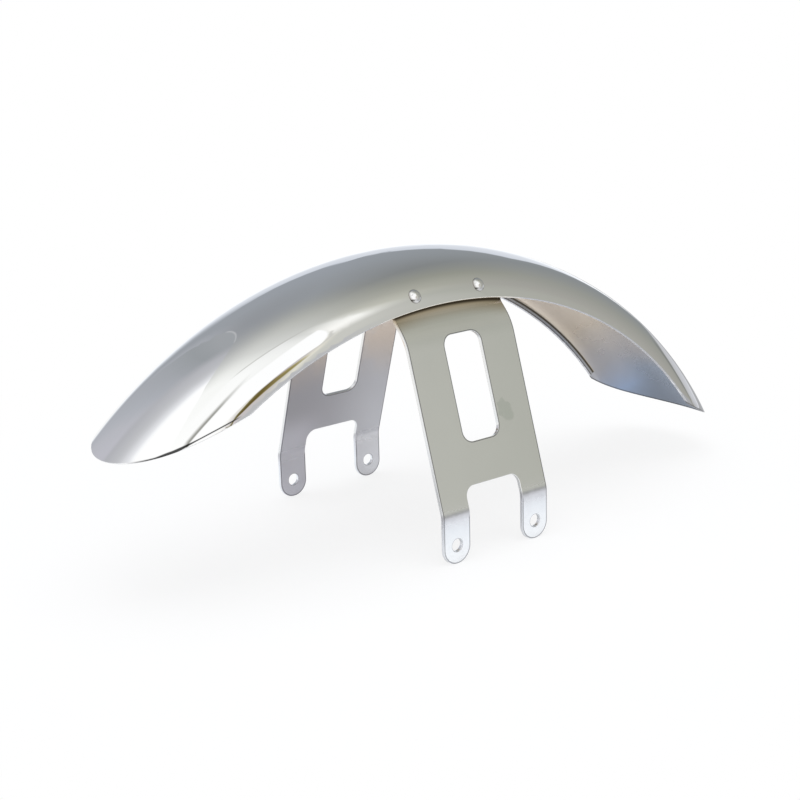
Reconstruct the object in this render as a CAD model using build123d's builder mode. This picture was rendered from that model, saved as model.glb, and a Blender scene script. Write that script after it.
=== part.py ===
from build123d import *
from math import asin, atan2, copysign, cos, degrees, radians, sin, sqrt
import os

# Front mudguard for a narrow motorcycle fork: a pressed steel shell riveted to a bent steel bracket.
# Millimetres. +X is forward to the nose, +Y is the rider's left, +Z is up.
# The origin is the middle of the four bolt holes in the bracket's tabs.

# Where the wheel's axle lies, seen from the middle of the bolt holes
axle_forward = 4.7
axle_drop = 165.9

# Shell: half an ellipse in section, spun about the axle
edge_radius = 331.2          # axle to the lower edge of the shell's sides
shell_width = 114.3
crown_height = 32.4          # crown above the side edges, measured along the wheel's radius
shell_sheet = 1.2
hem_height = 5.6             # the side edges are folded back flat against the inside, this far up
hem_setback = 3.0            # the hems stop this far short of the tail corners
nose_edge_angle = 31.4       # both ends are trimmed in side view, from edge to crown
nose_crown_angle = 45.5
tail_edge_angle = 52.1
tail_crown_angle = 60.5
tail_bulge = 2.0             # the nose is trimmed straight, the tail swells out by this much
rim_round = 0.5              # polished round on the outer rim of both ends

# Bracket: one strap of thicker sheet, a saddle under the crown with a splayed leg on each side
bracket_sheet = 3.0
edge_round = 0.4             # the stamped edges of the legs, windows and holes are broken by buffing
tab_span = 206.1             # across the outer faces of the tabs
hole_spacing = 76.2
hole_diameter = 9.5
tab_width = 24.8
tab_end_flat = 0.8           # the tab ends are round, with a short flat at the bottom
tab_end_below_holes = 13.9
tab_bend_above_holes = 23.0
crotch_above_holes = 39.4    # top of the gap between a leg's two tabs
crotch_corner = 8.0
bridge_height = 30.9         # solid web between that gap and the window, measured up the leg
window_width = 34.6
window_corner = 8.5
window_below_shoulder = 1.7
flare_under_edge = 1.7       # the leg turns outward this far below the shell's edge
flare_out = 12.3
flare_drop = 13.0
tab_bend_radius = 15.0
shoulder_radius = 40.0
neck_radius = 5.0
hem_clearance = 0.3          # bracket's neck to the shell's hem
saddle_clearance = 0.2       # bracket's saddle to the inside of the shell

# Rivets: two on each side, set square to the shell's wall
rivet_spacing = 60.3
rivet_forward = 2.1          # middle of a pair, forward of the bolt holes
rivet_above_edge = 10.1
rivet_head_diameter = 10.5
rivet_head_height = 2.8
rivet_shank_diameter = 5.0
rivet_tail_diameter = 7.5
rivet_tail_height = 2.0
rivet_seat_depth = 0.7       # stock under head and tail, pressed to the curve of the sheets
rivet_hole_clearance = 0.1

# Worked out from the sizes above
half_width = shell_width / 2
crown_radius = edge_radius + crown_height
axle = Axis((axle_forward, 0, -axle_drop), (0, 1, 0))
leg_width = hole_spacing + tab_width
hem_fold = 0.9 * shell_sheet
overrun = 25.0               # how far cutters and spun blanks run past what they trim

os.makedirs("parts", exist_ok=True)


def side_point(angle, radius):
    """Point in side view, at an angle forward of straight up from the axle."""
    turn = radians(angle)
    return Vector(axle_forward + radius * sin(turn), -axle_drop + radius * cos(turn))


def radial_plane(angle):
    """Section plane through the axle: local x runs to the left, local y outward from the edge radius."""
    turn = radians(angle)
    foot = side_point(angle, edge_radius)
    return Plane((foot.X, 0, foot.Y), x_dir=(0, 1, 0), z_dir=(cos(turn), 0, -sin(turn)))


def end_trim(edge_angle, crown_angle, bulge=0.0):
    """Outline of an end's cutter in side view: it trims from edge to crown, straight or bulging out."""
    at_edge = side_point(edge_angle, edge_radius)
    at_crown = side_point(crown_angle, crown_radius)
    along = (at_crown - at_edge).normalized()
    outward = Vector(along.Y, -along.X) * copysign(1, crown_angle)
    start = at_edge - along * overrun
    end = at_crown + along * overrun
    depth = outward * ((at_crown - at_edge).length + overrun)
    if bulge:
        ThreePointArc(at_edge, (at_edge + at_crown) / 2 + outward * bulge, at_crown)
    else:
        Line(at_edge, at_crown)
    Polyline(at_crown, end, end + depth, start + depth, start, at_edge)


def ellipse_height(semi_width, semi_height, across):
    """Height of an ellipse of the section, at a distance across from the middle plane."""
    return semi_height * sqrt(1 - (across / semi_width) ** 2)


# Rivet places: square to the wall at the rivets' height, two along the wheel, on both sides
rivet_across = ellipse_height(crown_height, half_width, rivet_above_edge)
rivet_slope = Vector(rivet_across / half_width**2, rivet_above_edge / crown_height**2).normalized()
rivet_planes = []
for along in (-rivet_spacing / 2, rivet_spacing / 2):
    reach = rivet_forward + along - axle_forward
    section = radial_plane(degrees(asin(reach / (edge_radius + rivet_above_edge))))
    for side in (1, -1):
        seat = section.from_local_coords((side * rivet_across, rivet_above_edge))
        square = section.from_local_coords((side * rivet_slope.X, rivet_slope.Y)) - section.origin
        rivet_planes.append(Plane(seat, x_dir=section.z_dir, z_dir=square))
rivet_hole_radius = rivet_shank_diameter / 2 + rivet_hole_clearance
rivet_grip = shell_sheet + saddle_clearance + bracket_sheet


# Shell: pressed and trimmed from one sheet, with both side edges folded back inside as a flat hem
spin_start = -tail_crown_angle - degrees(overrun / crown_radius)
spin_end = nose_crown_angle + degrees(overrun / crown_radius)
hem_end = -tail_edge_angle + degrees(hem_setback / edge_radius)
with BuildPart() as fender_shell:
    with BuildSketch(radial_plane(spin_start)) as shell_section:
        Ellipse(half_width, crown_height)
        Ellipse(half_width - 2 * shell_sheet, crown_height - 2 * shell_sheet, mode=Mode.SUBTRACT)
        Rectangle(shell_width, crown_height, align=(Align.CENTER, Align.MIN), mode=Mode.INTERSECT)
        fillet(shell_section.vertices().group_by(Axis.Y)[0], radius=hem_fold)
    revolve(axis=axle, revolution_arc=spin_end - spin_start)
    # Above the hem the wall is a single sheet
    with BuildSketch(radial_plane(spin_start)) as single_sheet:
        Ellipse(half_width - shell_sheet, crown_height - shell_sheet)
        with Locations((0, hem_height)):
            Rectangle(shell_width, crown_height, align=(Align.CENTER, Align.MIN), mode=Mode.INTERSECT)
    revolve(axis=axle, revolution_arc=spin_end - spin_start, mode=Mode.SUBTRACT)
    # Nose and tail are trimmed square to the middle plane, and their outer rims are rounded
    with BuildSketch(Plane.XZ) as end_trims:
        with BuildLine():
            end_trim(nose_edge_angle, nose_crown_angle)
        make_face()
        with BuildLine():
            end_trim(-tail_edge_angle, -tail_crown_angle, tail_bulge)
        make_face()
    extrude(amount=shell_width, both=True, mode=Mode.SUBTRACT)
    crossing = fender_shell.edges(Select.LAST).filter_by(
        lambda edge: edge.bounding_box().size.Y > crown_height
    )
    rims = crossing.filter_by(lambda edge: abs(edge.center().Y) > shell_sheet)
    fillet(rims, radius=rim_round)
    # The hems are cut away close to the tail corners
    with BuildSketch(radial_plane(spin_start)) as hem_relief:
        Ellipse(half_width - shell_sheet, crown_height - shell_sheet)
        Rectangle(shell_width, 2 * hem_height, mode=Mode.INTERSECT)
    revolve(axis=axle, revolution_arc=hem_end - spin_start, mode=Mode.SUBTRACT)
    with Locations(*rivet_planes):
        Cylinder(rivet_hole_radius, 4 * rivet_grip, mode=Mode.SUBTRACT)

fender_shell.part.label = "fender_shell"
export_step(fender_shell.part, "parts/fender_shell.step")


# Bracket: a strap bent over the wheel. It hugs the shell's inside, drops past the hems as a straight neck,
# flares out under the shell and runs down each side as a splayed leg with two upright tabs.
saddle_width = half_width - shell_sheet - saddle_clearance
saddle_height = crown_height - shell_sheet - saddle_clearance
hem_face = ellipse_height(crown_height - 2 * shell_sheet, half_width - 2 * shell_sheet, hem_height)
neck_across = hem_face - hem_clearance
neck_rise = ellipse_height(
    saddle_width - bracket_sheet, saddle_height - bracket_sheet, neck_across - bracket_sheet
)
neck_lap = 1.0               # the saddle starts this far above the edge, and the legs lap it by as much
corner_reach = leg_width / 2 + abs(axle_forward)
neck_z = sqrt(edge_radius**2 - corner_reach**2) - axle_drop - flare_under_edge
shoulder_z = neck_z - flare_drop
shoulder_across = neck_across + flare_out
tab_across = tab_span / 2
leg_rise = shoulder_z - tab_bend_above_holes
leg_splay = atan2(tab_across - shoulder_across, leg_rise)
leg_planes = [
    Plane((0, tab_across, tab_bend_above_holes), (-1, 0, 0), (0, cos(leg_splay), sin(leg_splay))),
    Plane((0, -tab_across, tab_bend_above_holes), (1, 0, 0), (0, -cos(leg_splay), sin(leg_splay))),
]
window_start = (crotch_above_holes - tab_bend_above_holes) / cos(leg_splay) + bridge_height
window_end = leg_rise / cos(leg_splay) - window_below_shoulder
saddle_angle = degrees(asin((corner_reach + overrun) / edge_radius))
with BuildPart() as saddle:
    with BuildSketch(radial_plane(-saddle_angle)) as saddle_section:
        Ellipse(saddle_width, saddle_height)
        Ellipse(saddle_width - bracket_sheet, saddle_height - bracket_sheet, mode=Mode.SUBTRACT)
        with Locations((0, neck_lap)):
            Rectangle(2 * neck_across, saddle_height, align=(Align.CENTER, Align.MIN), mode=Mode.INTERSECT)
        with Locations((neck_across, neck_lap)):
            Rectangle(bracket_sheet, neck_rise - neck_lap, align=(Align.MAX, Align.MIN))
        with Locations((-neck_across, neck_lap)):
            Rectangle(bracket_sheet, neck_rise - neck_lap, align=(Align.MIN, Align.MIN))
    revolve(axis=axle, revolution_arc=2 * saddle_angle)
    Box(leg_width, tab_span, 2 * crown_radius, mode=Mode.INTERSECT)

with BuildPart() as bracket:
    with BuildSketch(Plane.YZ) as leg_profile:
        with BuildLine():
            outer_face = FilletPolyline(
                (tab_across, -tab_end_below_holes),
                (tab_across, tab_bend_above_holes),
                (shoulder_across, shoulder_z),
                (neck_across, neck_z),
                (neck_across, edge_radius - axle_drop + 2 * neck_lap),
                radius=(tab_bend_radius, shoulder_radius, neck_radius),
            )
            offset(outer_face, amount=bracket_sheet, side=Side.LEFT)
        make_face()
    extrude(amount=leg_width, both=True)
    mirror(about=Plane.XZ)
    # Side outline: the strap's width, a gap with round corners between the tabs, round tab ends and holes
    with BuildSketch(Plane.XZ) as side_outline:
        with Locations((0, -tab_end_below_holes)):
            Rectangle(leg_width, crown_radius, align=(Align.CENTER, Align.MIN))
            Rectangle(
                hole_spacing - tab_width,
                tab_end_below_holes + crotch_above_holes,
                align=(Align.CENTER, Align.MIN),
                mode=Mode.SUBTRACT,
            )
        fillet(side_outline.vertices().group_by(Axis.Y)[1], radius=crotch_corner)
        fillet(side_outline.vertices().group_by(Axis.Y)[0], radius=(tab_width - tab_end_flat) / 2)
        with Locations((-hole_spacing / 2, 0), (hole_spacing / 2, 0)):
            Circle(hole_diameter / 2, mode=Mode.SUBTRACT)
    extrude(amount=tab_span, both=True, mode=Mode.INTERSECT)
    # A window with round corners through each leg, square to its sheet
    with BuildSketch(*leg_planes) as windows:
        with Locations((0, (window_start + window_end) / 2)):
            RectangleRounded(window_width, window_end - window_start, window_corner)
    extrude(amount=4 * bracket_sheet, both=True, mode=Mode.SUBTRACT)
    # The round runs on by itself from a leg's flat faces along the whole of each outline
    leg_faces = bracket.faces().filter_by(GeomType.PLANE).sort_by(SortBy.AREA)[-4:]
    fillet(leg_faces.edges().filter_by(Axis.X, reverse=True), radius=edge_round)
    hole_rims = bracket.edges().filter_by(GeomType.CIRCLE).filter_by(
        lambda edge: abs(edge.radius - hole_diameter / 2) < edge_round and edge.is_closed
    )
    fillet(hole_rims, radius=edge_round)
    add(saddle.part)
    with Locations(*rivet_planes):
        Cylinder(rivet_hole_radius, 4 * rivet_grip, mode=Mode.SUBTRACT)

bracket.part.label = "bracket"
export_step(bracket.part, "parts/bracket.step")


# Rivets: domed outside, closed by a low button inside, both pressed to the sheets that they clamp
with BuildPart() as rivet_blank:
    with BuildSketch(Plane.XZ) as rivet_half:
        head_radius = rivet_head_diameter / 2
        tail_top = rivet_seat_depth - rivet_grip
        tail_bottom = -rivet_grip - rivet_tail_height
        with BuildLine():
            dome_radius = (head_radius**2 + rivet_head_height**2) / (2 * rivet_head_height)
            RadiusArc((0, rivet_head_height), (head_radius, 0), dome_radius)
            Polyline(
                (head_radius, 0),
                (head_radius, -rivet_seat_depth),
                (rivet_shank_diameter / 2, -rivet_seat_depth),
                (rivet_shank_diameter / 2, tail_top),
                (rivet_tail_diameter / 2, tail_top),
                (rivet_tail_diameter / 2, tail_bottom),
                (0, tail_bottom),
                (0, rivet_head_height),
            )
        make_face()
    revolve(axis=Axis.Z)

with BuildPart() as rivets:
    with Locations(*rivet_planes):
        add(rivet_blank.part)
    add(fender_shell.part, mode=Mode.SUBTRACT)
    add(bracket.part, mode=Mode.SUBTRACT)

rivets.part.label = "rivets"
export_step(rivets.part, "parts/rivets.step")
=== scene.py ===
import math

import bpy
from mathutils import Matrix, Vector


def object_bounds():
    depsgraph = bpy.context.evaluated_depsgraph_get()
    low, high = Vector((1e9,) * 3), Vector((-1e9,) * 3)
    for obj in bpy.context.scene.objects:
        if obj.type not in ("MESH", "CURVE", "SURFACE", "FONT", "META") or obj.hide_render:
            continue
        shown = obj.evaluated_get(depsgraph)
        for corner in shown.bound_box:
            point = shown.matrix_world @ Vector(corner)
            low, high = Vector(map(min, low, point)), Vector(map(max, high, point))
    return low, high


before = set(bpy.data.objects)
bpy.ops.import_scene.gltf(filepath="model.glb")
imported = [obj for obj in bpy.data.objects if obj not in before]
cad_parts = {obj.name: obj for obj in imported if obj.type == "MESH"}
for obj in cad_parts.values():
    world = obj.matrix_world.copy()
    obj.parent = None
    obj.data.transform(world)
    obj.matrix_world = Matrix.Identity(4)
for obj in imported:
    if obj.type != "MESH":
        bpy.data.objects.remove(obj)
cad_low, cad_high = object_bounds()
scene = bpy.context.scene
scene.view_settings.view_transform = "Standard"


# The shell is pressed from one steel sheet, arched over the wheel and half an ellipse in section.
# It is buffed and chromed outside. Inside, the plating over the raw pressing stays thin and dull,
# stained from beige to blue towards the ends, with painted shade in the folded hems along both edges.
def calc(tree, operation, first, second=None, third=None):
    """One step of arithmetic in a shader tree, on sockets or plain numbers."""
    node = tree.nodes.new("ShaderNodeMath")
    node.operation = operation
    for socket, value in zip(node.inputs, (first, second, third)):
        if value is None:
            continue
        if isinstance(value, (int, float)):
            socket.default_value = value
        else:
            tree.links.new(value, socket)
    return node.outputs[0]


def times(tree, product, *shares):
    """The product of several shares."""
    for share in shares:
        product = calc(tree, "MULTIPLY", product, share)
    return product


def most(tree, largest, *others):
    """The largest of several values."""
    for other in others:
        largest = calc(tree, "MAXIMUM", largest, other)
    return largest


def reach(tree, first, second):
    """Straight distance, from two distances at right angles."""
    square = calc(tree, "MULTIPLY", first, first)
    return calc(tree, "SQRT", calc(tree, "MULTIPLY_ADD", second, second, square))


def along(tree, first, second, angle):
    """Distance along a line that leans by angle from the first of two directions to the second."""
    from_second = calc(tree, "MULTIPLY", second, math.sin(angle))
    return calc(tree, "MULTIPLY_ADD", first, math.cos(angle), from_second)


def soft_step(tree, value, low, high):
    """0 at low, 1 at high, and a smooth rise between them; low may be the larger."""
    node = tree.nodes.new("ShaderNodeMapRange")
    node.interpolation_type = "SMOOTHSTEP"
    tree.links.new(value, node.inputs["Value"])
    node.inputs["From Min"].default_value = min(low, high)
    node.inputs["From Max"].default_value = max(low, high)
    if low > high:
        node.inputs["To Min"].default_value = 1.0
        node.inputs["To Max"].default_value = 0.0
    return node.outputs["Result"]


def band(tree, value, low, high, blur):
    """1 between low and high, with soft ends."""
    rising = soft_step(tree, value, low - blur, low + blur)
    return times(tree, rising, soft_step(tree, value, high + blur, high - blur))


def tint(tree, share, below, above):
    """A colour between two others; each is a socket or a plain linear colour."""
    node = tree.nodes.new("ShaderNodeMix")
    node.data_type = "RGBA"
    tree.links.new(share, node.inputs["Factor"])
    for socket, value in ((node.inputs[6], below), (node.inputs[7], above)):
        if isinstance(value, tuple):
            socket.default_value = (*value, 1.0)
        else:
            tree.links.new(value, socket)
    return node.outputs[2]


def shades(tree, value, stops):
    """A colour that runs through stops, each a place on the value's scale with a linear colour."""
    low, high = stops[0][0], stops[-1][0]
    node = tree.nodes.new("ShaderNodeValToRGB")
    share = calc(tree, "DIVIDE", calc(tree, "SUBTRACT", value, low), high - low)
    tree.links.new(share, node.inputs["Fac"])
    elements = node.color_ramp.elements
    for _ in range(len(stops) - 2):
        elements.new(0.5)
    for element, (stop, colour) in zip(elements, stops):
        element.position = (stop - low) / (high - low)
        element.color = (*colour, 1.0)
    return node.outputs["Color"]


def clouds(tree, place, scale, detail, stretch=(1.0, 1.0, 1.0)):
    """Mottling in the piece's own coordinates, about 0.5, stretched along its axes."""
    spread = tree.nodes.new("ShaderNodeMapping")
    spread.inputs["Scale"].default_value = stretch
    tree.links.new(place, spread.inputs["Vector"])
    noise = tree.nodes.new("ShaderNodeTexNoise")
    noise.inputs["Scale"].default_value = scale
    noise.inputs["Detail"].default_value = detail
    tree.links.new(spread.outputs["Vector"], noise.inputs["Vector"])
    return noise.outputs["Fac"]


def relief(tree, shader, height, distance):
    """Fine unevenness of the surface; distance is the height of a full step, in metres."""
    bump = tree.nodes.new("ShaderNodeBump")
    bump.inputs["Distance"].default_value = distance
    tree.links.new(height, bump.inputs["Height"])
    tree.links.new(bump.outputs["Normal"], shader.inputs["Normal"])


def plated(name):
    """An empty metal material: its tree, its shader, and the piece's own coordinates."""
    material = bpy.data.materials.new(name)
    material.use_nodes = True
    tree = material.node_tree
    shader = tree.nodes["Principled BSDF"]
    shader.inputs["Metallic"].default_value = 1.0
    place = tree.nodes.new("ShaderNodeTexCoord").outputs["Object"]
    axes = tree.nodes.new("ShaderNodeSeparateXYZ")
    tree.links.new(place, axes.inputs[0])
    return material, tree, shader, place, axes.outputs


axle_forward, axle_drop = 0.0047, 0.1659
edge_radius = 0.3312


def about_axle(tree, axes):
    """Distance from the wheel's axle and angle forward of straight up, in side view."""
    ahead = calc(tree, "SUBTRACT", axes["X"], axle_forward)
    above = calc(tree, "ADD", axes["Z"], axle_drop)
    return reach(tree, ahead, above), calc(tree, "ARCTAN2", ahead, above)


sheet_middle_across, sheet_middle_height = 0.05655, 0.0318


def sheet_fullness(tree, axes, above_edge):
    """1 in the middle of the shell's sheet, more outside it and less inside."""
    rise = calc(tree, "DIVIDE", above_edge, sheet_middle_height)
    across = calc(tree, "DIVIDE", axes["Y"], sheet_middle_across)
    return reach(tree, rise, across)


shell_chrome, tree, shader, place, axes = plated("shell_chrome")
radius, round_angle = about_axle(tree, axes)
above_edge = calc(tree, "SUBTRACT", radius, edge_radius)
outside = calc(tree, "GREATER_THAN", sheet_fullness(tree, axes, above_edge), 1.0)

# The stain inside changes along the arch, in one way on the side walls and in another under the crown
stain_raggedness = 0.10
wall_across, crown_across = 0.050, 0.012
mottle = clouds(tree, place, scale=16.0, detail=4.0)
stain_angle = calc(tree, "MULTIPLY_ADD", mottle, stain_raggedness, round_angle)
wall_stain = shades(tree, stain_angle, [
    (-1.03, (0.22, 0.25, 0.30)),
    (-0.985, (0.32, 0.37, 0.46)),
    (-0.925, (0.45, 0.56, 0.76)),
    (-0.85, (0.54, 0.54, 0.57)),
    (-0.71, (0.72, 0.63, 0.52)),
    (-0.55, (0.79, 0.70, 0.60)),
    (0.50, (0.79, 0.70, 0.60)),
    (0.70, (0.50, 0.49, 0.49)),
    (0.90, (0.44, 0.47, 0.53)),
])
crown_stain = shades(tree, stain_angle, [
    (-1.03, (0.24, 0.27, 0.32)),
    (-0.97, (0.29, 0.33, 0.40)),
    (-0.90, (0.31, 0.35, 0.42)),
    (-0.83, (0.40, 0.39, 0.40)),
    (-0.70, (0.55, 0.48, 0.41)),
    (-0.55, (0.72, 0.63, 0.53)),
    (0.50, (0.79, 0.70, 0.60)),
    (0.90, (0.44, 0.47, 0.53)),
])
in_crown = soft_step(tree, calc(tree, "ABSOLUTE", axes["Y"]), wall_across, crown_across)
inner_stain = tint(tree, in_crown, wall_stain, crown_stain)

# The hem shows its bright roll, a line of painted shade over it, its dull flat and painted shade in
# the gap along its top
hem_height, hem_over, hem_under = 0.0056, 0.0003, 0.0001
hem_end_angle, hem_end_blur = math.radians(-51.58), 0.004
hem_stain_and_shade = shades(tree, above_edge, [
    (0.0007, (0.82, 0.82, 0.85)),
    (0.0011, (0.17, 0.16, 0.15)),
    (0.0015, (0.17, 0.16, 0.15)),
    (0.0020, (0.44, 0.44, 0.45)),
    (0.0031, (0.44, 0.43, 0.42)),
    (0.0035, (0.10, 0.085, 0.065)),
    (0.0047, (0.09, 0.075, 0.055)),
    (0.0052, (0.62, 0.56, 0.48)),
])
below_hem_top = soft_step(tree, above_edge, hem_height + hem_over, hem_height - hem_under)
before_hem_end = soft_step(tree, round_angle, hem_end_angle, hem_end_angle + hem_end_blur)
inner_plate = tint(tree, times(tree, below_hem_top, before_hem_end), inner_stain, hem_stain_and_shade)

# A thin dark line of painted reflection follows the tail's rim and the left half of the nose's
nose_corner_x, nose_corner_z, nose_trim_rise = 0.17726, 0.11679, math.radians(17.8)
line_above_trim, line_climb = 0.0007, 0.0020
line_half_width, line_swell, line_blur = 0.0004, 0.0006, 0.0003
from_corner_x = calc(tree, "SUBTRACT", axes["X"], nose_corner_x)
from_corner_z = calc(tree, "SUBTRACT", axes["Z"], nose_corner_z)
above_nose_trim = along(tree, from_corner_z, from_corner_x, nose_trim_rise)
at_side = soft_step(tree, axes["Y"], 0.044, 0.056)
line_height = calc(tree, "MULTIPLY_ADD", at_side, line_climb, line_above_trim)
off_line = calc(tree, "ABSOLUTE", calc(tree, "SUBTRACT", above_nose_trim, line_height))
swollen = band(tree, axes["Y"], 0.041, 0.049, 0.003)
half_width = calc(tree, "MULTIPLY_ADD", swollen, line_swell, line_half_width)
on_line = soft_step(tree, calc(tree, "SUBTRACT", half_width, off_line), -line_blur, line_blur)
past_side_corner = soft_step(tree, axes["X"], 0.184, 0.192)
on_left_half = soft_step(tree, axes["Y"], 0.022, 0.038)
nose_rim_painted_line = times(tree, on_line, past_side_corner, on_left_half)
tail_arc_x, tail_arc_z, tail_arc_radius = -0.3758, 0.2326, 0.2286
tail_painted_line_share = 0.7
from_arc_x = calc(tree, "SUBTRACT", axes["X"], tail_arc_x)
from_arc_z = calc(tree, "SUBTRACT", axes["Z"], tail_arc_z)
from_tail_trim = calc(tree, "SUBTRACT", reach(tree, from_arc_x, from_arc_z), tail_arc_radius)
by_tail_trim = soft_step(tree, from_tail_trim, -0.0013, -0.0006)
at_tail = soft_step(tree, round_angle, -0.86, -0.88)
rim_painted_lines = most(tree, nose_rim_painted_line, times(tree, by_tail_trim, at_tail, tail_painted_line_share))
rim_painted_dark = (0.06, 0.06, 0.06)

# Outside, only the roll of the edge differs: painted reflection makes it greyer, and a painted warm
# highlight makes it bright beside the bracket
bracket_near, bracket_clear = 0.055, 0.075
roll_height, roll_end = 0.0006, 0.0011
sheen = clouds(tree, place, scale=9.0, detail=2.0)
buffed = tint(tree, sheen, (0.84, 0.845, 0.85), (0.88, 0.88, 0.875))
by_bracket = soft_step(tree, calc(tree, "ABSOLUTE", axes["X"]), bracket_clear, bracket_near)
roll_painted_reflection = tint(tree, by_bracket, (0.56, 0.56, 0.58), (0.95, 0.89, 0.79))
buffed = tint(tree, soft_step(tree, above_edge, roll_end, roll_height), buffed, roll_painted_reflection)
plate = tint(tree, outside, inner_plate, buffed)
# The rims' painted dark reflection goes over the plate
tree.links.new(tint(tree, rim_painted_lines, plate, rim_painted_dark), shader.inputs["Base Color"])

outer_rough, outer_scatter = 0.008, 0.025
inner_rough, inner_scatter = 0.22, 0.14
inner_waves, wave_height = 0.3, 0.00004
buffing = clouds(tree, place, scale=60.0, detail=5.0, stretch=(1.0, 9.0, 1.0))
outer_finish = calc(tree, "MULTIPLY_ADD", buffing, outer_scatter, outer_rough)
inner_finish = calc(tree, "MULTIPLY_ADD", mottle, inner_scatter, inner_rough)
difference = calc(tree, "SUBTRACT", outer_finish, inner_finish)
finish = calc(tree, "MULTIPLY_ADD", outside, difference, inner_finish)
tree.links.new(finish, shader.inputs["Roughness"])
wave_share = calc(tree, "MULTIPLY_ADD", outside, 1.0 - inner_waves, inner_waves)
waviness = times(tree, clouds(tree, place, scale=26.0, detail=1.5), wave_share)
relief(tree, shader, waviness, wave_height)
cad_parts["fender_shell"].material_slots[0].material = shell_chrome


# The bracket is one strap of thicker steel, cut, bent over the wheel and chromed with little buffing.
# Its saddle hides under the shell's crown. In the recess under the shell's edge painted reflection
# turns the plating brown and painted shade then black, cut edges carry thin painted shade lines, and
# the left leg has a smudge from handling.
bracket_chrome, tree, shader, place, axes = plated("bracket_chrome")
radius, _ = about_axle(tree, axes)
below_edge = calc(tree, "SUBTRACT", edge_radius, radius)
beside = calc(tree, "ABSOLUTE", axes["X"])
outward = calc(tree, "ABSOLUTE", axes["Y"])
patches = clouds(tree, place, scale=24.0, detail=4.0)
grain = clouds(tree, place, scale=420.0, detail=3.0, stretch=(1.0, 1.0, 0.35))
plate = tint(tree, patches, (0.80, 0.805, 0.795), (0.86, 0.865, 0.855))

# The tabs stand upright; painted shade darkens them towards their bend, and they grow paler from it
# down
dapple_depth = 0.008
dapples = clouds(tree, place, scale=170.0, detail=3.0)
dappled_z = calc(tree, "MULTIPLY_ADD", dapples, dapple_depth, axes["Z"])
tab_painted_shade = shades(tree, dappled_z, [
    (-0.006, (0.97, 0.98, 0.99)),
    (0.006, (0.91, 0.93, 0.95)),
    (0.0160, (0.82, 0.84, 0.87)),
    (0.0205, (0.77, 0.78, 0.81)),
    (0.0240, (0.67, 0.67, 0.70)),
    (0.0290, (0.52, 0.52, 0.53)),
])
on_tab = soft_step(tree, axes["Z"], 0.0262, 0.0232)
plate = tint(tree, on_tab, plate, tab_painted_shade)

# Places on a leg are measured up its sheet and in from its outer face
tab_across, tab_bend_z, leg_splay = 0.10305, 0.023, math.radians(16.86)
shoulder_across, shoulder_z, flare_lean = 0.06579, 0.14597, math.radians(43.4)
in_from_tab = calc(tree, "SUBTRACT", outward, tab_across)
above_bend = calc(tree, "SUBTRACT", axes["Z"], tab_bend_z)
up_leg = along(tree, above_bend, in_from_tab, -leg_splay)
in_from_leg = along(tree, in_from_tab, above_bend, leg_splay)
from_shoulder = calc(tree, "SUBTRACT", outward, shoulder_across)
above_shoulder = calc(tree, "SUBTRACT", axes["Z"], shoulder_z)
in_from_flare = along(tree, from_shoulder, above_shoulder, flare_lean)
in_from_face = most(tree, in_from_tab, in_from_leg, in_from_flare)

# The inner face carries painted shade and light: greyer, paler on the tabs, low on the front and
# towards the rear, and in patches a painted brown reflection towards the shell
pale_front_painted = (0.71, 0.70, 0.75)
rearward = soft_step(tree, axes["X"], 0.030, -0.045)
forward = soft_step(tree, axes["X"], 0.004, 0.036)
low_on_leg = soft_step(tree, axes["Z"], 0.062, 0.034)
inner_tab_painted = tint(tree, rearward, pale_front_painted, (0.88, 0.88, 0.91))
inner_leg_painted = tint(tree, rearward, (0.53, 0.52, 0.55), (0.69, 0.69, 0.72))
inner_leg_painted = tint(tree, times(tree, low_on_leg, forward), inner_leg_painted, pale_front_painted)
above_tab = soft_step(tree, axes["Z"], 0.0215, 0.0245)
inner_painted_shade = tint(tree, above_tab, inner_tab_painted, inner_leg_painted)
towards_shell = soft_step(tree, below_edge, 0.092, 0.045)
in_patches = soft_step(tree, patches, 0.20, 0.50)
inner_painted_shade = tint(tree, times(tree, towards_shell, in_patches), inner_painted_shade, (0.77, 0.665, 0.575))
past_sheet_middle = soft_step(tree, in_from_face, -0.0024, -0.0028)
below_neck = soft_step(tree, axes["Z"], 0.153, 0.148)
plate = tint(tree, times(tree, past_sheet_middle, below_neck), plate, inner_painted_shade)

# A dull smudge beside the left leg's window, where it was handled
smudge_x, smudge_z = -0.0262, 0.0850
smudge_half_width, smudge_half_height = 0.0070, 0.0085
smudge_raggedness, smudge_slant, smudge_share = 0.012, -0.45, 0.55
smudge_middle_width, smudge_taper = 0.80, -0.40
ragged_edge = clouds(tree, place, scale=130.0, detail=3.0)
ragged_x = calc(tree, "MULTIPLY_ADD", ragged_edge, smudge_raggedness, axes["X"])
off_x = calc(tree, "SUBTRACT", ragged_x, smudge_x + smudge_raggedness / 2)
off_x = calc(tree, "DIVIDE", off_x, smudge_half_width)
off_z = calc(tree, "DIVIDE", calc(tree, "SUBTRACT", axes["Z"], smudge_z), smudge_half_height)
slanted = calc(tree, "MULTIPLY_ADD", off_z, smudge_slant, off_x)
tapered = calc(tree, "MULTIPLY_ADD", off_z, smudge_taper, smudge_middle_width)
from_smudge = reach(tree, calc(tree, "DIVIDE", slanted, tapered), off_z)
on_left = calc(tree, "GREATER_THAN", axes["Y"], 0.0)
smudge = times(tree, soft_step(tree, from_smudge, 1.15, 0.85), on_left)
plate = tint(tree, times(tree, smudge, smudge_share), plate, (0.62, 0.66, 0.62))
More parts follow.
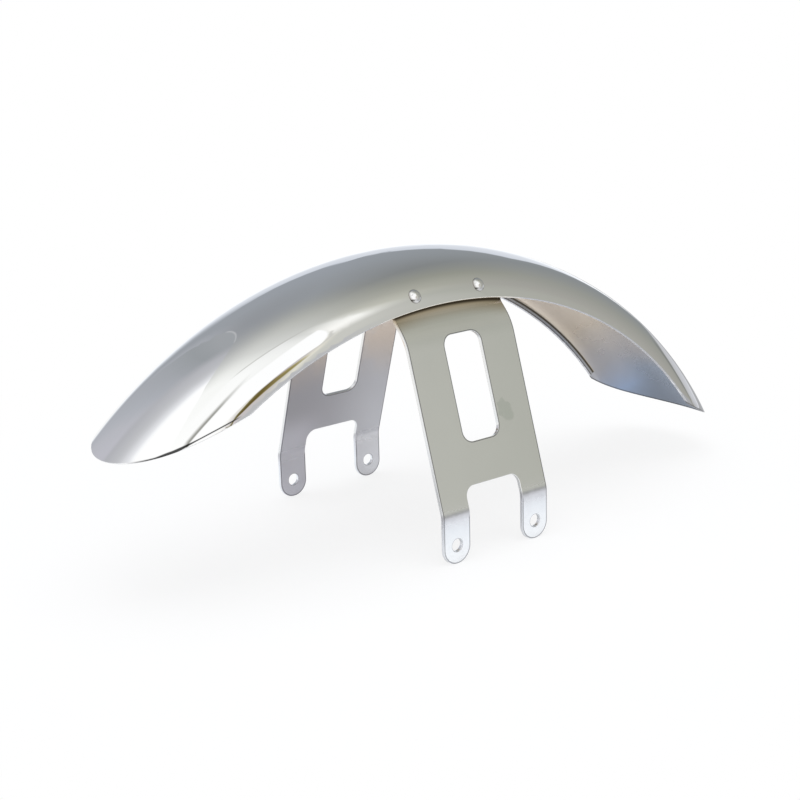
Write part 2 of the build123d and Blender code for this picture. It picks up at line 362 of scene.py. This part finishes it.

# Thin dark lines of painted shade follow the rounded edges of the legs, windows, bolt holes and tabs
leg_half_width, edge_round = 0.0505, 0.0004
window_half_width, window_half_height, window_corner, window_middle = 0.0173, 0.0394, 0.0085, 0.0874
hole_across, hole_radius, tab_half_width, tab_end_middle = 0.0381, 0.00475, 0.0123, -0.0016
line_start, thin_blur, line_share, hole_line_share = 0.00012, 0.0001, 0.75, 0.6
side_line_width, edge_line_width, hole_line_width = 0.0006, 0.0005, 0.0002
side_line_end = leg_half_width - edge_round - side_line_width
side_line = band(tree, beside, side_line_end, leg_half_width - line_start, thin_blur)
above_tab_end = soft_step(tree, axes["Z"], 0.000, 0.006)
side_line = times(tree, side_line, above_tab_end)
past_corner_x = calc(tree, "SUBTRACT", beside, window_half_width - window_corner)
from_middle = calc(tree, "ABSOLUTE", calc(tree, "SUBTRACT", up_leg, window_middle))
past_corner_up = calc(tree, "SUBTRACT", from_middle, window_half_height - window_corner)
from_window = reach(tree, most(tree, past_corner_x, 0.0), most(tree, past_corner_up, 0.0))
from_window = calc(tree, "SUBTRACT", from_window, window_corner)
window_line = band(tree, from_window, line_start, edge_round + edge_line_width, thin_blur)
off_hole = calc(tree, "SUBTRACT", beside, hole_across)
from_hole = calc(tree, "SUBTRACT", reach(tree, off_hole, axes["Z"]), hole_radius)
hole_line = band(tree, from_hole, line_start, edge_round + hole_line_width, thin_blur)
hole_line = times(tree, hole_line, hole_line_share)
below_middle = calc(tree, "MINIMUM", calc(tree, "SUBTRACT", axes["Z"], tab_end_middle), 0.0)
inside_tab = calc(tree, "SUBTRACT", tab_half_width, reach(tree, off_hole, below_middle))
tab_line = band(tree, inside_tab, thin_blur, edge_round + edge_line_width, thin_blur)
below_bend = soft_step(tree, axes["Z"], 0.022, 0.018)
tab_line = times(tree, tab_line, below_bend)
edge_shade_lines = times(tree, most(tree, side_line, window_line, hole_line, tab_line), line_share)
plate = tint(tree, edge_shade_lines, plate, (0.20, 0.20, 0.22))

# Painted reflection browns the leg up under the shell's edge, and painted shade blackens it in the
# recess there
painted_browning = soft_step(tree, below_edge, 0.013, 0.002)
plate = tint(tree, painted_browning, plate, (0.52, 0.43, 0.31))
painted_blackening = soft_step(tree, below_edge, 0.0042, 0.0016)
plate = tint(tree, painted_blackening, plate, (0.06, 0.045, 0.03))
# Painted shade darkens the saddle under the shell's crown
painted_shade_under_crown = soft_step(tree, below_edge, -0.004, -0.007)
plate = tint(tree, painted_shade_under_crown, plate, (0.46, 0.42, 0.37))
tree.links.new(plate, shader.inputs["Base Color"])

# The sheet is rippled and duller where the tabs were bent upright
smooth_rough, patch_rough, grain_rough, smudge_rough, bend_rough = 0.07, 0.07, 0.05, 0.08, 0.16
grain_share, ripple_height = 0.02, 0.00012
bent = band(tree, axes["Z"], 0.014, 0.030, 0.006)
finish = smooth_rough
for mark, roughness in (
    (patches, patch_rough), (grain, grain_rough), (smudge, smudge_rough), (bent, bend_rough)
):
    finish = calc(tree, "MULTIPLY_ADD", mark, roughness, finish)
tree.links.new(finish, shader.inputs["Roughness"])
ripples = times(tree, clouds(tree, place, scale=170.0, detail=2.0), bent)
relief(tree, shader, calc(tree, "MULTIPLY_ADD", grain, grain_share, ripples), ripple_height)
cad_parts["bracket"].material_slots[0].material = bracket_chrome


# Four domed steel rivets, chromed with the rest, hold the shell to the bracket's saddle.
# Each is a bright dome outside, with painted shade round its foot and darker painted shade in its
# seat, and a low pressed button inside.
rivet_chrome, tree, shader, place, axes = plated("rivet_chrome")
radius, _ = about_axle(tree, axes)
rivet_fullness = sheet_fullness(tree, axes, calc(tree, "SUBTRACT", radius, edge_radius))
dome_foot_painted_shade = soft_step(tree, rivet_fullness, 1.044, 1.022)
seat_painted_shade = soft_step(tree, rivet_fullness, 1.026, 1.016)
speckle = clouds(tree, place, scale=300.0, detail=3.0)
dome = tint(tree, speckle, (0.82, 0.82, 0.82), (0.88, 0.88, 0.88))
dome = tint(tree, dome_foot_painted_shade, dome, (0.46, 0.45, 0.43))
tree.links.new(tint(tree, seat_painted_shade, dome, (0.25, 0.23, 0.21)), shader.inputs["Base Color"])
rivet_rough, speckle_rough, speckle_height = 0.15, 0.08, 0.000008
finish = calc(tree, "MULTIPLY_ADD", speckle, speckle_rough, rivet_rough)
tree.links.new(finish, shader.inputs["Roughness"])
relief(tree, shader, speckle, speckle_height)
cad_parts["rivets"].material_slots[0].material = rivet_chrome


# The mudguard stands on its tabs on a wide white sheet of studio paper, cut off close to its right.
# The paper looks white to the camera and still takes the part's soft shadow. In the plating it is
# white too, but for its right end, which lies in shade.
floor_level = cad_low.z
view_yaw = math.radians(38.43)
level_gaze = Vector((-math.sin(view_yaw), -math.cos(view_yaw), 0.0))
level_right = Vector((-math.cos(view_yaw), math.sin(view_yaw), 0.0))
paper_left, paper_right, paper_front, paper_back = 1.8, 0.60, 0.40, 2.0
bpy.ops.mesh.primitive_plane_add(size=1.0)
paper = bpy.context.object
paper.name = "paper_floor"
paper_corners = [
    (-paper_left, -paper_front),
    (paper_right, -paper_front),
    (-paper_left, paper_back),
    (paper_right, paper_back),
]
for vertex, (to_right, to_back) in zip(paper.data.vertices, paper_corners):
    vertex.co = to_right * level_right + to_back * level_gaze + Vector((0.0, 0.0, floor_level))
paper_white = bpy.data.materials.new("paper_white")
paper_white.use_nodes = True
tree = paper_white.node_tree
paper_shader = tree.nodes["Principled BSDF"]
paper_shader.inputs["Base Color"].default_value = (0.84, 0.86, 0.90, 1.0)
paper_shader.inputs["Roughness"].default_value = 0.9
glow = tree.nodes.new("ShaderNodeEmission")
glow.inputs["Strength"].default_value = 1.0
ray = tree.nodes.new("ShaderNodeLightPath")
paper_place = tree.nodes.new("ShaderNodeTexCoord").outputs["Object"]
from_part = tree.nodes.new("ShaderNodeVectorMath")
from_part.operation = "LENGTH"
tree.links.new(paper_place, from_part.inputs[0])
rightward = tree.nodes.new("ShaderNodeVectorMath")
rightward.operation = "DOT_PRODUCT"
rightward.inputs[1].default_value = level_right
tree.links.new(paper_place, rightward.inputs[0])

shadow_reach, white_from = 0.15, 0.55
seen_glow, mirrored_glow = 0.82, 0.15
shade_from, shade_full = 0.24, 0.36
plain_white = soft_step(tree, from_part.outputs["Value"], shadow_reach, white_from)
seen_share = calc(tree, "MULTIPLY_ADD", plain_white, 1.0 - seen_glow, seen_glow)
mirrored_share = calc(tree, "MULTIPLY_ADD", plain_white, 1.0 - mirrored_glow, mirrored_glow)
mirrored = ray.outputs["Is Glossy Ray"]
shaded = times(tree, soft_step(tree, rightward.outputs["Value"], shade_from, shade_full), mirrored)
tree.links.new(tint(tree, shaded, (1.0, 1.0, 1.0), (0.44, 0.445, 0.46)), glow.inputs["Color"])
glow_share = times(tree, mirrored, mirrored_share)
glow_share = calc(tree, "MULTIPLY_ADD", ray.outputs["Is Camera Ray"], seen_share, glow_share)
blend = tree.nodes.new("ShaderNodeMixShader")
tree.links.new(glow_share, blend.inputs["Fac"])
tree.links.new(paper_shader.outputs[0], blend.inputs[1])
tree.links.new(glow.outputs[0], blend.inputs[2])
tree.links.new(blend.outputs[0], tree.nodes["Material Output"].inputs["Surface"])
paper.data.materials.append(paper_white)


# A broad soft lamp hangs over the paper.
# It lights the paper round the part and stays out of the mirror.
lamp_height = 1.5
soft_lamp = bpy.data.lights.new("overhead_soft", "AREA")
soft_lamp.shape = "SQUARE"
soft_lamp.size = 1.4
soft_lamp.energy = 14.0
overhead = bpy.data.objects.new("overhead_soft", soft_lamp)
overhead.location = (0.0, 0.0, lamp_height)
overhead.visible_glossy = False
scene.collection.objects.link(overhead)


# Around it is a plain studio room that only the plating shows: a white card behind the part, a pale
# screen to the left, grey walls that warm to the right, a broad window with a tan blind under it
# beside the camera, and a dark floor below them.
def mirrored_as(red, green, blue):
    """A linear colour of the room, from the one that the plating shows of it, out of 255."""
    plating_share = 0.86
    linear = []
    for level in (red, green, blue):
        level = level / 255
        level = level / 12.92 if level <= 0.04045 else ((level + 0.055) / 1.055) ** 2.4
        linear.append(level / plating_share)
    return tuple(linear)


studio = bpy.data.worlds.new("studio")
scene.world = studio
studio.use_nodes = True
tree = studio.node_tree
to_view = tree.nodes.new("ShaderNodeMapping")
to_view.inputs["Rotation"].default_value = (0.0, 0.0, math.pi + view_yaw)
tree.links.new(tree.nodes.new("ShaderNodeTexCoord").outputs["Generated"], to_view.inputs["Vector"])
axes = tree.nodes.new("ShaderNodeSeparateXYZ")
tree.links.new(to_view.outputs["Vector"], axes.inputs[0])
to_right, to_back, upward = axes.outputs["X"], axes.outputs["Y"], axes.outputs["Z"]

# Places in the room are in degrees: turn to the right of the view, and lift above level
to_degrees = 180 / math.pi
turn = times(tree, calc(tree, "ARCTAN2", to_right, to_back), to_degrees)
lift = times(tree, calc(tree, "ARCSINE", upward), to_degrees)
around = calc(tree, "FLOORED_MODULO", turn, 360.0)
white = mirrored_as(255, 255, 255)

# Walls in a lower and an upper tone, and a ceiling that is lighter over the window
walls_lower, walls_upper, ceiling_full = 25, 48, 82
upper_walls = shades(tree, turn, [
    (-180, white),
    (-106, white),
    (-92, mirrored_as(232, 234, 232)),
    (-75, mirrored_as(188, 190, 190)),
    (-46, mirrored_as(160, 162, 166)),
    (-28, mirrored_as(146, 149, 154)),
    (-8, mirrored_as(146, 150, 155)),
    (22, mirrored_as(130, 133, 134)),
    (52, mirrored_as(147, 148, 139)),
    (82, mirrored_as(168, 168, 158)),
    (99, mirrored_as(188, 188, 178)),
    (106, mirrored_as(217, 217, 210)),
    (110, mirrored_as(248, 248, 244)),
    (117, mirrored_as(250, 249, 245)),
    (119.6, mirrored_as(226, 227, 223)),
    (126, mirrored_as(234, 235, 231)),
    (160, mirrored_as(236, 237, 234)),
    (176, white),
    (180, white),
])
lower_walls = shades(tree, turn, [
    (-180, white),
    (-100, mirrored_as(222, 222, 228)),
    (-60, mirrored_as(182, 183, 190)),
    (-33, mirrored_as(174, 176, 183)),
    (-26, mirrored_as(152, 156, 162)),
    (-8, mirrored_as(149, 154, 161)),
    (22, mirrored_as(134, 138, 140)),
    (52, mirrored_as(150, 151, 145)),
    (82, mirrored_as(162, 161, 155)),
    (97, mirrored_as(172, 173, 165)),
    (108, mirrored_as(190, 190, 184)),
    (113, mirrored_as(198, 198, 192)),
    (117.5, mirrored_as(199, 199, 193)),
    (119.6, mirrored_as(226, 223, 210)),
    (122, mirrored_as(200, 196, 192)),
    (126, mirrored_as(196, 190, 192)),
    (134, mirrored_as(215, 210, 208)),
    (141, mirrored_as(252, 252, 250)),
    (180, white),
])
room = tint(tree, soft_step(tree, lift, walls_lower, walls_upper), lower_walls, upper_walls)
light_back, light_right = -0.8, -0.5
towards_light = times(tree, to_right, light_right)
towards_light = calc(tree, "MULTIPLY_ADD", to_back, light_back, towards_light)
ceiling = shades(tree, towards_light, [
    (-0.45, mirrored_as(150, 151, 147)),
    (-0.30, mirrored_as(165, 166, 161)),
    (-0.18, mirrored_as(180, 181, 176)),
    (-0.10, mirrored_as(191, 192, 188)),
    (0.02, mirrored_as(210, 211, 208)),
    (0.12, mirrored_as(234, 235, 232)),
    (0.20, mirrored_as(246, 247, 245)),
])
room = tint(tree, soft_step(tree, lift, walls_upper, ceiling_full), room, ceiling)

# A straight lintel over the window, with lit wall past it
lintel_back, lintel_right, lintel_up = -0.964, 0.237, -0.124
lit_share, lintel_share = 0.45, 0.7
past_lintel = times(tree, upward, lintel_up)
past_lintel = calc(tree, "MULTIPLY_ADD", to_right, lintel_right, past_lintel)
past_lintel = calc(tree, "MULTIPLY_ADD", to_back, lintel_back, past_lintel)
past_edge = soft_step(tree, past_lintel, 0.0, 0.03)
over_window = soft_step(tree, lift, 60, 66)
about_camera = band(tree, around, 125, 215, 12.0)
room = tint(tree, times(tree, past_edge, over_window, about_camera, lit_share), room, white)
lintel = band(tree, past_lintel, -0.014, 0.012, 0.012)
lintel_length = band(tree, around, 104, 214, 8.0)
lintel = times(tree, lintel, lintel_length, lintel_share)
room = tint(tree, lintel, room, mirrored_as(186, 186, 182))

# A tall pale screen on the left, with a straight top, a rounded corner and a light rim round it
screen_lean, screen_lean_lift = 0.6, 45.0
screen_turn = calc(tree, "SUBTRACT", lift, screen_lean_lift)
screen_turn = calc(tree, "MULTIPLY_ADD", screen_turn, -screen_lean, turn)
screen_high = shades(tree, screen_turn, [
    (-97, white),
    (-92, mirrored_as(248, 249, 251)),
    (-86, mirrored_as(226, 227, 231)),
    (-80, mirrored_as(211, 212, 216)),
    (-76, mirrored_as(200, 201, 205)),
    (-72, mirrored_as(192, 193, 197)),
    (-67, mirrored_as(186, 187, 191)),
    (-62, mirrored_as(182, 183, 188)),
    (-54, mirrored_as(175, 176, 181)),
])
screen_slant = calc(tree, "MULTIPLY_ADD", lift, screen_lean, turn)
screen_low = shades(tree, screen_slant, [
    (-40, mirrored_as(187, 187, 195)),
    (-34, mirrored_as(182, 183, 190)),
    (-29, mirrored_as(172, 175, 182)),
    (-22, mirrored_as(163, 166, 172)),
    (-15, mirrored_as(151, 155, 159)),
    (-9, mirrored_as(158, 161, 165)),
])
screen_shade = tint(tree, soft_step(tree, screen_turn, -46, -58), screen_low, screen_high)
screen_facing, screen_height = math.radians(-94.5), 2.655
corner_rise, corner_turn, screen_end = 0.30, 10.0, -30.5
rim_share = 0.7
screen_reach = along(tree, to_back, to_right, screen_facing)
over_screen = calc(tree, "MULTIPLY_ADD", screen_reach, -screen_height, upward)
past_top = most(tree, calc(tree, "MULTIPLY_ADD", over_screen, 1 / corner_rise, 1.0), 0.0)
past_end = calc(tree, "MULTIPLY_ADD", turn, 1 / corner_turn, 1.0 - screen_end / corner_turn)
past_end = most(tree, past_end, 0.0)
from_bend = reach(tree, past_top, past_end)
on_screen = times(tree, soft_step(tree, from_bend, 1.05, 0.97), soft_step(tree, lift, 4, 12))
room = tint(tree, on_screen, room, screen_shade)
in_bend = soft_step(tree, calc(tree, "MINIMUM", past_top, past_end), 0.05, 0.25)
screen_rim = times(tree, band(tree, from_bend, 0.98, 1.04, 0.03), in_bend, rim_share)
room = tint(tree, screen_rim, room, mirrored_as(190, 191, 194))

# The white card behind the part, and the paper's far end before it
card_lean = -0.7
card_shade = shades(tree, lift, [
    (-6, mirrored_as(254, 255, 255)),
    (0, mirrored_as(238, 241, 246)),
    (6, mirrored_as(214, 218, 225)),
    (17, mirrored_as(204, 209, 218)),
])
card_side = calc(tree, "MULTIPLY_ADD", lift, card_lean, turn)
card_left = soft_step(tree, card_side, -36, -20)
card_right = soft_step(tree, turn, 17.6, 15.8)
card_top = soft_step(tree, lift, 18.2, 15.6)
card = times(tree, card_left, card_right, card_top)
paper_end_left = soft_step(tree, turn, -40, -34)
paper_end_right = soft_step(tree, turn, 20, 14)
paper_end_top = soft_step(tree, lift, 4, -3)
paper_end = times(tree, paper_end_left, paper_end_right, paper_end_top)
room = tint(tree, most(tree, card, paper_end), room, card_shade)

# The foot of the wall, low to the right, with a dark seam along its ridge
ridge_turn, ridge_lift, ridge_flatness = 42.0, 1.7, 90
seam_share = 0.8
off_ridge = calc(tree, "SUBTRACT", turn, ridge_turn)
ridge = calc(tree, "MULTIPLY_ADD", times(tree, off_ridge, off_ridge), -1 / ridge_flatness, ridge_lift)
above_ridge = calc(tree, "SUBTRACT", lift, ridge)
foot_shade = shades(tree, above_ridge, [
    (-9, mirrored_as(226, 228, 233)),
    (-6.5, mirrored_as(212, 214, 219)),
    (-4.5, mirrored_as(197, 199, 204)),
    (-1, mirrored_as(190, 191, 195)),
])
seam = band(tree, above_ridge, 0.4, 2.2, 0.8)
seam_length = band(tree, turn, 38, 70, 8.0)
room = tint(tree, times(tree, seam, seam_length, seam_share), room, mirrored_as(122, 124, 123))
foot_left = soft_step(tree, turn, 15.5, 19)
foot_right = soft_step(tree, turn, 82, 56)
foot_top = soft_step(tree, above_ridge, 0.6, -0.4)
room = tint(tree, times(tree, foot_left, foot_right, foot_top), room, foot_shade)

# The window with the edge of its reveal, and the grey wall under its sill
window_lean, sill_share = 0.1, 0.9
window_side = calc(tree, "MULTIPLY_ADD", lift, window_lean, turn)
window_left = soft_step(tree, window_side, 122.8, 124.0)
window_bottom = soft_step(tree, lift, 25.5, 28.5)
window_top = soft_step(tree, lift, 65, 61)
room = tint(tree, times(tree, window_left, window_bottom, window_top), room, white)
reveal = band(tree, window_side, 121.6, 122.9, 0.5)
reveal_height = band(tree, lift, 24, 44, 5.0)
room = tint(tree, times(tree, reveal, reveal_height), room, mirrored_as(204, 203, 198))
sill_length = band(tree, turn, 110, 126, 3.0)
under_sill = soft_step(tree, lift, 7.0, 2.5)
room = tint(tree, times(tree, sill_length, under_sill, sill_share), room, mirrored_as(183, 184, 187))

# The tan blind, with a dark fold in it and a sloping top
blind_left, blind_right, top_slope, top_start = 120.5, 134.3, -0.4, 122.0
fold_share = 0.4
blind_shade = shades(tree, turn, [
    (blind_left, mirrored_as(236, 234, 218)),
    (121.5, mirrored_as(205, 198, 160)),
    (123, mirrored_as(165, 155, 105)),
    (126, mirrored_as(150, 136, 90)),
    (129, mirrored_as(108, 95, 50)),
    (131, mirrored_as(112, 100, 60)),
    (132.8, mirrored_as(140, 132, 100)),
    (133.6, mirrored_as(230, 226, 210)),
    (blind_right, white),
])
blind_fold = times(tree, band(tree, lift, 14, 19, 2.0), fold_share)
blind_shade = tint(tree, blind_fold, blind_shade, mirrored_as(70, 58, 25))
below_top = calc(tree, "MULTIPLY_ADD", calc(tree, "SUBTRACT", turn, top_start), top_slope, lift)
blind_bottom = soft_step(tree, lift, 10.5, 13.0)
blind_top = soft_step(tree, below_top, 22.5, 20.0)
blind_width = band(tree, turn, blind_left, blind_right, 0.7)
room = tint(tree, times(tree, blind_bottom, blind_top, blind_width), room, blind_shade)

# The camera's stand before the window, and the dark floor round its foot
stand_turn, stand_lift, stand_slope = 176.0, 54.5, 7 / 12
off_stand = calc(tree, "SUBTRACT", around, stand_turn)
stand_rise = calc(tree, "SUBTRACT", lift, stand_lift)
stand_rise = calc(tree, "MULTIPLY_ADD", off_stand, stand_slope, stand_rise)
stand_height = times(tree, soft_step(tree, stand_rise, -6, -1), soft_step(tree, stand_rise, 11, -1))
stand_width = times(tree, soft_step(tree, around, 158, 172), soft_step(tree, around, 205, 185))
room = tint(tree, times(tree, stand_height, stand_width), room, mirrored_as(150, 150, 144))
behind_camera = soft_step(tree, calc(tree, "ABSOLUTE", turn), 134, 148)
below_paper = soft_step(tree, lift, -5, -10)
room = tint(tree, times(tree, behind_camera, below_paper), room, mirrored_as(112, 110, 107))

# The chrome mirrors the room, and the camera sees plain white behind the part
background = tree.nodes["Background"]
tree.links.new(room, background.inputs["Color"])
backdrop = tree.nodes.new("ShaderNodeBackground")
backdrop.inputs["Color"].default_value = (1.0, 1.0, 1.0, 1.0)
ray = tree.nodes.new("ShaderNodeLightPath")
blend = tree.nodes.new("ShaderNodeMixShader")
tree.links.new(ray.outputs["Is Camera Ray"], blend.inputs["Fac"])
tree.links.new(background.outputs[0], blend.inputs[1])
tree.links.new(backdrop.outputs[0], blend.inputs[2])
tree.links.new(blend.outputs[0], tree.nodes["World Output"].inputs["Surface"])


# The camera stands ahead of the part on its left, above the crown, with a long lens.
# It is aimed as the photograph was taken, with a slight roll.
camera_place = Vector((0.76435, 0.95654, 0.42777))
view_pitch = math.radians(15.86)
view_roll = math.radians(1.57)
focal_pixels, picture_pixels = 1663, 800
gaze = math.cos(view_pitch) * level_gaze - math.sin(view_pitch) * Vector((0.0, 0.0, 1.0))
level_down = gaze.cross(level_right)
picture_right = math.cos(view_roll) * level_right + math.sin(view_roll) * level_down
picture_down = math.cos(view_roll) * level_down - math.sin(view_roll) * level_right
lens = bpy.data.cameras.new("photo_lens")
lens.sensor_width = 36.0
lens.lens = lens.sensor_width * focal_pixels / picture_pixels
lens.clip_end = 20.0
camera = bpy.data.objects.new("photo_camera", lens)
scene.collection.objects.link(camera)
turned = Matrix((picture_right, -picture_down, -gaze)).transposed()
camera.matrix_world = Matrix.Translation(camera_place) @ turned.to_4x4()
scene.camera = camera
